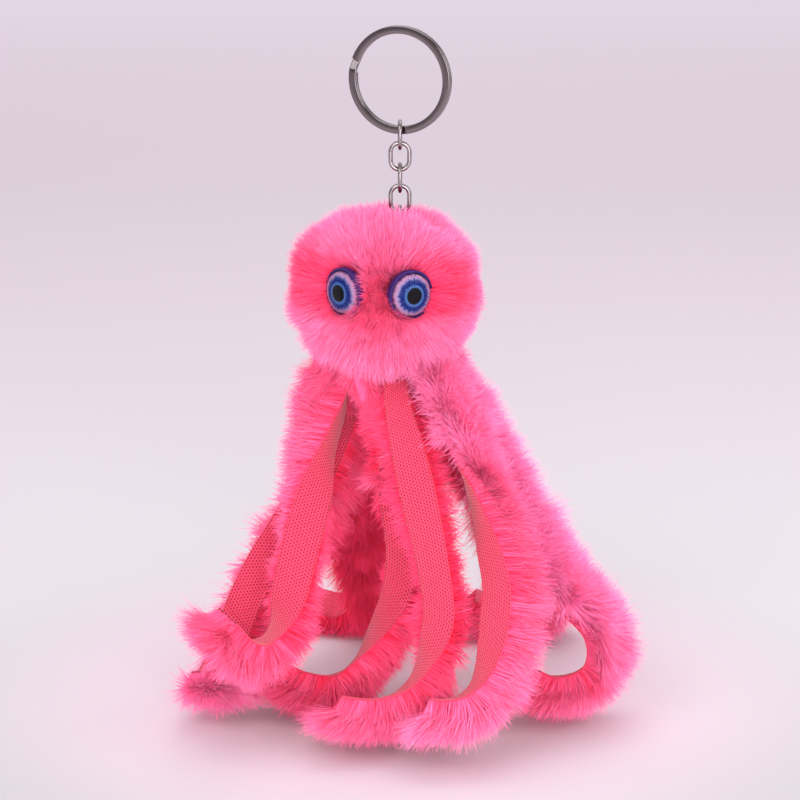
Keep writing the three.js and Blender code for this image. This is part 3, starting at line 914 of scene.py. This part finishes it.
mapped = pile_tree.store(
    grown.outputs["Geometry"], "OFBake", map_place.outputs["Vector"], "FLOAT2", "CORNER"
)
shaped = pile_tree.add("GeometryNodeSetPosition", Geometry=mapped, Position=grown_place)
whole_pile = pile_tree.add("GeometryNodeRealizeInstances", Geometry=shaped.outputs["Geometry"])
finished_pile = pile_tree.add(
    "GeometryNodeSetMaterial",
    Geometry=whole_pile.outputs["Geometry"],
    Material=pile_tree.given("Finish"),
)
pile_tree.give(pile_tree.end, Geometry=finished_pile.outputs["Geometry"])

# Painted shade towards the root and painted light towards the tip: each ramp runs from a deeper to
# a paler colour along the blade.
pale_pile = ((0, (1, 0.16, 0.38)), (0.5, (1, 0.23, 0.5)), (1, (1, 0.37, 0.69)))
deep_pile = ((0, (1, 0.03, 0.1)), (0.5, (1, 0.045, 0.14)), (1, (1, 0.075, 0.21)))
pink_pile = Finish(
    "pink_pile",
    Base_Color=(0.95, 0.2, 0.42),
    Roughness=0.75,
    Specular_IOR_Level=0.1,
    Sheen_Weight=0.08,
    Sheen_Roughness=0.4,
    Sheen_Tint=(1, 0.5, 0.7),
)
blade_map = pink_pile.add("ShaderNodeUVMap", {"uv_map": "OFBake"}).outputs["UV"]
blade_tone, blade_height, _ = pink_pile.add("ShaderNodeSeparateXYZ", Vector=blade_map).outputs
pink_pile.show(
    Base_Color=pink_pile.mixed(
        blade_tone,
        pink_pile.ramp(blade_height, deep_pile),
        pink_pile.ramp(blade_height, pale_pile),
    )
)


def store_on_points(mesh, label, values):
    """Writes a number or a vector for each corner of a mesh."""
    values = np.asarray(values, dtype=np.float32)
    kind, key = ("FLOAT", "value") if values.ndim == 1 else ("FLOAT_VECTOR", "vector")
    attribute = mesh.attributes.new(label, kind, "POINT")
    attribute.data.foreach_set(key, values.ravel())


def lay_map(mesh, label, places):
    """Writes a map, with one place on it for each corner of a mesh."""
    corner_of = np.empty(len(mesh.loops), dtype=np.int32)
    mesh.loops.foreach_get("vertex_index", corner_of)
    layer = mesh.uv_layers.new(name=label)
    layer.data.foreach_set("uv", places[corner_of].ravel().astype(np.float32))


def unit(vectors):
    """The same directions, each of length one."""
    return vectors / np.maximum(np.linalg.norm(vectors, axis=-1, keepdims=True), 1e-12)


def grow_pile(name, bed, faces, undercoat, settings, **fields):
    """Blades over a bed of backing, and the matted undercoat that fills between them.

    The fields say, for each corner of the bed, how the pile stands and is combed, and how
    long, how thick and of what tone it is.
    """
    piece = new_piece(name, bed, faces, pink_pile)
    for label, values in fields.items():
        store_on_points(piece.data, label, values)
    pile_tree.run(piece, {**settings, "Finish": pink_pile.material})
    for label in ("root", "spin", "luck", *fields):
        piece.data.attributes.remove(piece.data.attributes[label])
    if undercoat:
        coat = new_piece(f"{name}_undercoat", *undercoat, pink_pile)
        weld_and_face_out(coat)
        x, y, z = positions_of(coat.data).T
        # The undercoat takes a deep tone from low on the blades' map: painted shade of the pile's
        # depth.
        across = matted_shade_tone + matted_mottle * np.sin(x * 2600 + z * 1700)
        up = matted_height + matted_mottle * np.sin(y * 2300 - z * 2900)
        lay_map(coat.data, "OFBake", np.stack([across, up], axis=1))
        with bpy.context.temp_override(
            active_object=piece, selected_editable_objects=[piece, coat]
        ):
            bpy.ops.object.join()
    return piece


# Head: the pile of the ball grows on the drawn-in knit shell. It is short between the
# eyes, swept away from the face, hangs as a beard over the arms' roots, and is pressed
# aside by the eye cups and the chain. Its matted undercoat fills the ball.
head_rows = 72
head_columns = 120
head_pole = 0.02
head_pile_length = 0.0108
face_pile_length = 0.0088
beard_pile_length = 0.0128
crown_pile_length = 0.0095
shoulder_swell = 0.0016
left_swell = 0.0012
tuft_waves = np.array([[9.1, 4.2, -3.7], [-3.9, 8.3, 5.1], [5.3, -2.8, 9.7]])
tuft_depth = 0.14
face_angles = (22, 58)
sweep_start_angles, sweep_end_angles = (16, 42), (65, 120)
sweep_kept_behind = 0.3
swept_flat, swept_aside = 0.3, 0.62
head_droop, beard_droop = 0.06, 0.4
beard_depths = (0.2, 0.75)
face_crowding = 0.8
crown_reach = (0.002, 0.012)
chain_bare = 0.0036
chain_pit = 0.0045
hem_bare = -0.93
undercoat_share = 0.5
face_undercoat_share = 0.3
bare_coat = 0.0004
pit_coat = 0.0008
cup_bare = eye_diameter / 2 - 0.0028
cup_back = -0.005
cup_parting = (0.006, 0.0125)
parting_lean, parting_inner, parting_outer = 0.35, 0.3, 0.9
parting_depth = -0.012
outer_shade_reach = (0.011, 0.02)
outer_shade_height = (0.002, 0.007)
cup_opening = (eye_diameter / 2 + 0.002, eye_diameter / 2 + 0.008)
opening_depth = -0.016
cup_press_depth = -0.0015
tip_overlap = 0.001
face_turn = math.radians(-10)
face_way = np.array([math.sin(face_turn), -math.cos(face_turn), 0.08])
face_way /= np.linalg.norm(face_way)
down = np.array([0, 0, -1.0])

rows, columns = np.meshgrid(
    np.linspace(head_pole, math.pi - head_pole, head_rows),
    np.linspace(0, 2 * math.pi, head_columns, endpoint=False),
    indexing="ij",
)
ball_ways = np.stack(
    [np.sin(rows) * np.cos(columns), np.sin(rows) * np.sin(columns), np.cos(rows)],
    axis=2,
).reshape(-1, 3)
ball_faces = [
    (
        row * head_columns + column,
        (row + 1) * head_columns + column,
        (row + 1) * head_columns + (column + 1) % head_columns,
        row * head_columns + (column + 1) % head_columns,
    )
    for row in range(head_rows - 1)
    for column in range(head_columns)
]
half_axes = np.array([head_half_width, head_half_width, head_half_height])
ball_bed = np.array(head_middle) + ball_ways * half_axes
ball_normals = unit(ball_ways / half_axes)
rise = ball_ways[:, 2]
above = rise > 0
from_face = np.degrees(np.arccos(np.clip(ball_ways @ face_way, -1, 1)))
sideways = unit(ball_ways - (ball_ways @ face_way)[:, None] * face_way)
face_share = 1 - smoothstep(from_face, *face_angles)
sweep = smoothstep(from_face, *sweep_start_angles)
sweep *= 1 - (1 - sweep_kept_behind) * smoothstep(from_face, *sweep_end_angles)
low_share = smoothstep(-rise, *beard_depths)
off_chain = np.linalg.norm(ball_bed[:, :2], axis=1)
crown_share = (1 - smoothstep(off_chain, *crown_reach)) * above
shoulder_share = 4 * rise**2 * (1 - rise**2) * above
ball_pile = head_pile_length + (beard_pile_length - head_pile_length) * low_share
ball_pile = ball_pile * (1 - face_share) + face_pile_length * face_share
ball_pile = ball_pile * (1 - crown_share) + crown_pile_length * crown_share
ball_pile += (shoulder_swell * shoulder_share - left_swell * ball_ways[:, 0]) * (1 - face_share)
ball_pile *= 1 + tuft_depth * np.sin(ball_ways @ tuft_waves).sum(axis=1) / 3
ball_comb = unit(
    ball_normals * (1 - swept_flat * sweep[:, None])
    + sideways * swept_aside * sweep[:, None]
    + down * (head_droop + beard_droop * low_share[:, None])
)
ball_thick = np.ones(len(ball_bed)) + face_crowding * face_share
# Where painted shade falls in the pile just outside each eye's outer side.
outer_eye_shade = np.zeros(len(ball_bed))
eye_frames = [tuple(np.array(part) for part in eye_place(side)) for side in (-1, 1)]


def seen_from_eye(places, middle, look):
    """How high over the cup's back places lie, their way from its axis, and how far."""
    offset = places - middle
    depth = offset @ look
    flat = offset - depth[:, None] * look
    return depth, flat, np.linalg.norm(flat, axis=1)


for side, (middle, look) in zip((-1, 1), eye_frames):
    depth, flat, distance = seen_from_eye(ball_bed, middle, look)
    in_front = depth > parting_depth
    ball_thick[(distance < cup_bare) & (depth > cup_back)] = 0
    beside = unit(np.cross(look, down)) * side
    outer = smoothstep(unit(flat) @ beside, -0.2, 0.9)
    near = (1 - smoothstep(distance, *cup_parting)) * in_front
    parted = near * (parting_inner + parting_outer * outer)
    ball_comb = unit(ball_comb + parting_lean * unit(flat) * parted[:, None])
    level = 1 - smoothstep(np.abs(ball_bed[:, 2] - middle[2]), *outer_shade_height)
    outer_eye_shade += (1 - smoothstep(distance, *outer_shade_reach)) * in_front * outer * level
ball_thick[(off_chain < chain_bare) & above] = 0
ball_thick[rise < hem_bare] = 0
tone_grain = np.random.default_rng(11)
tone_spread = 0.16
head_tone, crown_painted_light = 0.72, 0.1
face_painted_shade, between_painted_shade, outer_painted_shade = 0.22, 0.25, 0.65
between_angles, between_low = (8, 26), -0.4
between_eyes_shade = (1 - smoothstep(from_face, *between_angles)) * (rise > between_low)
# Painted light: the pile is paler towards the top of the crown, where the light falls.
ball_tone_light_and_shade = head_tone + crown_painted_light * smoothstep(rise, 0, 0.8)
ball_tone_light_and_shade += tone_grain.normal(0, tone_spread, len(ball_bed))
# Painted shade: the face, the crease between the eyes and the pile just outside each eye are deeper
# in tone.
ball_tone_light_and_shade -= (
    face_painted_shade * face_share + between_painted_shade * between_eyes_shade + outer_painted_shade * outer_eye_shade
)
ball_tone_light_and_shade = np.clip(ball_tone_light_and_shade, 0, 1)


def press_aside(places):
    """Moves pile that would cross an eye cup out to its rim; tips may lie over the rim."""
    for middle, look in eye_frames:
        depth, flat, distance = seen_from_eye(places, middle, look)
        over_rim = depth > eye_cup_depth + eye_lip
        rim = np.where(over_rim, eye_diameter / 2 - tip_overlap, eye_diameter / 2)
        inside = (distance < rim) & (depth > cup_press_depth)
        places[inside] += (unit(flat) * (rim - distance)[:, None])[inside]
    return places


coat_share = undercoat_share + (face_undercoat_share - undercoat_share) * face_share
ball_coat = ball_bed + ball_normals * (ball_pile * coat_share)[:, None]
for middle, look in eye_frames:
    depth, _, distance = seen_from_eye(ball_coat, middle, look)
    open_share = (1 - smoothstep(distance, *cup_opening)) * (depth > opening_depth)
    ball_coat += (ball_bed + ball_normals * bare_coat - ball_coat) * open_share[:, None]
pit = (off_chain < chain_pit) & above
ball_coat[pit] = ball_bed[pit] + ball_normals[pit] * pit_coat
head_coat_faces = ball_faces + [
    tuple(range(head_columns)),
    tuple(range(len(ball_bed) - 1, len(ball_bed) - 1 - head_columns, -1)),
]
front, left = ball_ways[:, 1] < 0, ball_ways[:, 0] < 0
head_parts = (
    ("front_left", front & left, 4.6e7),
    ("front_right", front & ~left, 4.6e7),
    ("back_left", ~front & left, 3.2e7),
    ("back_right", ~front & ~left, 3.2e7),
)
for seed, (part, belongs, density) in enumerate(head_parts):
    head_pile = grow_pile(
        f"head_pile_{part}",
        ball_bed,
        ball_faces,
        (ball_coat, head_coat_faces) if seed == 0 else None,
        {
            "Density": density,
            "Blade width": blade_width,
            "Stray": 0.3,
            "Uneven": 0.3,
            "Lock size": 0.0038,
            "Locking": 0.26,
            "Wave": 0.005,
            "Seed": seed,
        },
        stand=ball_normals,
        comb=ball_comb,
        pile=ball_pile,
        thick=ball_thick * belongs,
        tone=ball_tone_light_and_shade,
    )
    set_positions(head_pile.data, press_aside(positions_of(head_pile.data)))
    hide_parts("head_pile")
    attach(head_pile, "head")

# Arms: eight strips cut from the fur fabric. Each is a narrow knitted tape, selvedged on
# both sides, with the pile standing on one face. The arm is sewn to the disc by its end
# and curls at the foot. Some are brushed to one side or lie flattened on their neighbours.
arm_count = 8
tape_samples = 132
tape_columns = 12
tape_edge = 0.0004
cloth_thickness = 0.00055
strip_pile_length = 0.0138
root_pile_length = 0.0125
pile_columns = 13
pile_search = 0.016
pile_spread = math.radians(32)
pile_drift = 0.16
pile_droop = 0.16
pile_onward, root_onward, end_onward = 0.1, 0.3, 0.7
root_share, end_share = 0.2, 0.86
grown_share = 0.35
coat_step = 3
coat_sides = 9
coat_height_share = 0.65
coat_inset = 0.001
coat_gap = 0.0002
table_gap = 0.0002
trodden_depth = 0.0006
trodden_reach = 0.003
tone_shares = (0.3, 0.6, 0.95)
# Each arm's tone at its root, middle and end; partly painted shade, deepest for arm 7 inside the
# skirt of arms.
arm_tones_and_shade = {
    1: (0.45, 0.45, 0.5),
    2: (0.3, 0.3, 0.3),
    3: (0.35, 0.3, 0.5),
    4: (0.75, 0.25, 0.75),
    5: (0.95, 0.95, 0.55),
    6: (0.5, 0.5, 0.6),
    7: (-0.1, -0.1, 0.0),
    8: (0.45, 0.5, 0.75),
}
inner_shade = 0.3
inner_reach = (-0.2, 0.6)
lean_shares = (0.0, 0.15, 0.42, 0.58, 0.76, 0.9, 1.0)
none, arm_left, arm_back = (0, 0, 0), (-0.4, 0.2, -0.1), (0.1, 0.6, -0.2)
pile_leans = {
    1: (none, arm_left, (-0.7, 0.45, -0.1), arm_back, arm_back, (0, 0.1, -0.1), none),
    2: ((0.3, 0.6, 0),) * 4 + ((0.1, 0.3, 0), none, none),
    3: (none,) + ((-0.35, 0.6, 0),) * 4 + (none, none),
    4: ((-0.5, -0.35, 0.15),) * 2 + ((-0.4, -0.3, 0.1), none, none, none, none),
    8: (none,) + ((0.25, -0.1, 0),) * 3 + ((0.1, -0.1, 0), (0.3, -0.6, 0.3), (0.5, -1, 0.8)),
}
pile_shares = {
    1: (1.25, 1.25, 0.6, 0.5, 0.7, 1, 1),
    2: (0.6, 0.6, 0.6, 0.6, 0.85, 1, 1),
    3: (1, 0.8, 0.7, 0.7, 0.85, 1, 1.05),
    4: (1, 1, 1, 1, 1, 1.05, 1.05),
}


def tape_sections(number):
    """The corners of each cross-section of a CAD tape, from its root to its end."""
    work = bmesh.new()
    work.from_mesh(nodes[f"arm_{number}_tape"].data)
    bmesh.ops.remove_doubles(work, verts=work.verts, dist=1e-6)
    work.verts.ensure_lookup_table()
    neighbours = {
        vert.index: {edge.other_vert(vert).index for edge in vert.link_edges}
        for vert in work.verts
    }
    places = np.array([vert.co for vert in work.verts])
    work.free()
    sections = [np.flatnonzero(places[:, 2].max() - places[:, 2] < 5e-5).tolist()]
    used = set(sections[0])
    while len(used) < len(places):
        reached = set().union(*(neighbours[index] for index in sections[-1])) - used
        sections.append(sorted(reached))
        used |= reached
    first = places[sections[0]]
    apart = np.linalg.norm(first[:, None] - first[None], axis=2)
    partner = int(np.argsort(apart[0])[1])
    near, far = (index for index in range(4) if index not in (0, partner))
    if apart[partner, near] >= apart[partner, far]:
        near, far = far, near
    loops = [first[[0, partner, near, far]]]
    for section in sections[1:]:
        corners = places[section]
        moved = loops[-1] + (corners.mean(axis=0) - loops[-1].mean(axis=0))
        orders = [list(order) for order in permutations(range(4))]
        best = min(orders, key=lambda order: np.linalg.norm(corners[order] - moved, axis=1).sum())
        loops.append(corners[best])
    return np.array(loops)


def smooth_samples(values, count):
    """A smooth curve through rows of values, sampled evenly."""
    padded = np.concatenate(
        [[2 * values[0] - values[1]], values, [2 * values[-1] - values[-2]]]
    )
    steps = np.linspace(0, len(values) - 1, count)
    first = np.minimum(steps.astype(int), len(values) - 2)
    share = (steps - first).reshape(-1, *([1] * (values.ndim - 1)))
    a, b, c, d = (padded[first + step] for step in range(4))
    return 0.5 * (
        2 * b
        + (c - a) * share
        + (2 * a - 5 * b + 4 * c - d) * share**2
        + (3 * b - a - 3 * c + d) * share**3
    )


drift_waves = np.array([[510.0, 330, -410], [-370, 560, 290], [450, -280, 620]])
tape_knit = knit_finish("tape_knit", (0.82, 0.06, 0.14), (0.32, 0.002, 0.024), "Cloth")
for number in range(1, arm_count + 1):
    loops = tape_sections(number)
    middles = loops.mean(axis=1)
    long_side = (loops[:, 1] + loops[:, 0]) / 2 - (loops[:, 2] + loops[:, 3]) / 2
    short_side = (loops[:, 1] + loops[:, 2]) / 2 - (loops[:, 0] + loops[:, 3]) / 2
    if np.linalg.norm(long_side[0]) < np.linalg.norm(short_side[0]):
        long_side, short_side = short_side, long_side
    halfway = len(middles) // 2
    to_pile = positions_of(nodes[f"arm_{number}_pile"].data) - middles[halfway]
    pile_near = to_pile[np.linalg.norm(to_pile, axis=1) < pile_search].mean(axis=0)
    facing = 1 if short_side[halfway] @ pile_near > 0 else -1
    middle = smooth_samples(middles, tape_samples)
    out = unit(smooth_samples(unit(short_side) * facing, tape_samples))
    across = unit(smooth_samples(unit(long_side), tape_samples))
    half = smooth_samples(np.linalg.norm(long_side, axis=1) / 2, tape_samples)
    middle += out * (cloth_thickness - np.linalg.norm(short_side, axis=1).mean()) / 2
    tangent = unit(np.gradient(middle, axis=0))
    if np.sum(np.cross(tangent, out) * across) < 0:
        across = -across
    travelled = np.concatenate([[0], np.cumsum(np.linalg.norm(np.diff(middle, axis=0), axis=1))])

    outline = rounded_section(2, cloth_thickness, tape_edge)
    widths = outline[:, 0] + np.sign(outline[:, 0]) * (half[:, None] - 1)
    rings = (
        middle[:, None]
        + across[:, None] * widths[:, :, None]
        + out[:, None] * outline[None, :, 1, None]
    )
    tape = new_piece(f"arm_{number}_knit", *lofted(rings), tape_knit)
    offsets = np.einsum("rsk,rk->rs", rings - middle[:, None], across) / half[:, None]
    columns_across = (tape_columns * (offsets + 1) / 2).ravel()
    rows_along = np.repeat(travelled / knit_stitch_length, len(outline))
    lay_map(tape.data, "Cloth", np.stack([columns_across, rows_along], axis=1))
    tape.data.set_sharp_from_angle(angle=math.radians(60))
    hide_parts(f"arm_{number}_tape")
    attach(tape, f"arm_{number}")

    fan = np.linspace(-1, 1, pile_columns)
    face = middle + out * (cloth_thickness / 2)
    bed = face[:, None] + across[:, None] * (half[:, None] * fan)[:, :, None]
    bed = bed.reshape(-1, 3)
    bed_faces = [
        (
            row * pile_columns + column,
            (row + 1) * pile_columns + column,
            (row + 1) * pile_columns + column + 1,
            row * pile_columns + column + 1,
        )
        for row in range(tape_samples - 1)
        for column in range(pile_columns - 1)
    ]
    share = np.repeat(travelled / travelled[-1], pile_columns)
    bed_normals = np.repeat(out, pile_columns, axis=0)
    spread = pile_spread * np.tile(fan, tape_samples)[:, None]
    leans = np.array(pile_leans.get(number, (none,) * len(lean_shares)))
    brushed = np.stack([np.interp(share, lean_shares, leans[:, axis]) for axis in range(3)], axis=1)
    end_lean = end_onward * smoothstep(share, end_share, 1)
    root_lean = root_onward * (1 - smoothstep(share, 0, root_share))
    strip_comb = unit(
        bed_normals * np.cos(spread)
        + np.repeat(across, pile_columns, axis=0) * np.sin(spread)
        + np.sin(bed @ drift_waves) * pile_drift
        + down * pile_droop
        + brushed
        + np.repeat(tangent, pile_columns, axis=0) * (pile_onward + end_lean + root_lean)[:, None]
    )
    strip_pile = root_pile_length + (strip_pile_length - root_pile_length) * smoothstep(
        share, 0, grown_share
    )
    if number in pile_shares:
        strip_pile *= np.interp(share, lean_shares, pile_shares[number])
    inward = -np.sum(strip_comb[:, :2] * unit(bed[:, :2]), axis=1)
    strip_tone_and_shade = np.interp(share, tone_shares, arm_tones_and_shade[number])
    # Painted shade on pile that faces in under the skirt of arms.
    strip_tone_and_shade -= inner_shade * smoothstep(inward, *inner_reach)
    strip_tone_and_shade += tone_grain.normal(0, tone_spread, len(strip_tone_and_shade))
    coat_turns = np.linspace(0, math.pi, coat_sides)[:, None]
    coat_rings = []
    for index in range(0, tape_samples, coat_step):
        width = -np.cos(coat_turns) * (half[index] - coat_inset)
        height = np.sin(coat_turns) * strip_pile[index * pile_columns] * coat_height_share
        coat_rings.append(
            face[index] + across[index] * width + out[index] * (coat_gap + height)
        )
    strip = grow_pile(
        f"arm_{number}_fur",
        bed,
        bed_faces,
        lofted(np.array(coat_rings)),
        {
            "Density": 3.7e7,
            "Blade width": blade_width,
            "Stray": 0.42,
            "Uneven": 0.4,
            "Lock size": 0.0045,
            "Locking": 0.16,
            "Wave": 0.009,
            "Seed": 20 + number,
        },
        stand=bed_normals,
        comb=strip_comb,
        pile=strip_pile,
        thick=np.ones(len(bed)),
        tone=np.clip(strip_tone_and_shade, 0, 1),
    )
    places = positions_of(strip.data)
    lowest = table_height + table_gap
    below = np.minimum(places[:, 2] - lowest, 0)
    trodden = lowest + trodden_depth * (1 - np.exp(below / trodden_reach))
    places[:, 2] = np.where(below < 0, trodden, places[:, 2])
    set_positions(strip.data, places)
    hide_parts(f"arm_{number}_pile")
    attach(strip, f"arm_{number}")
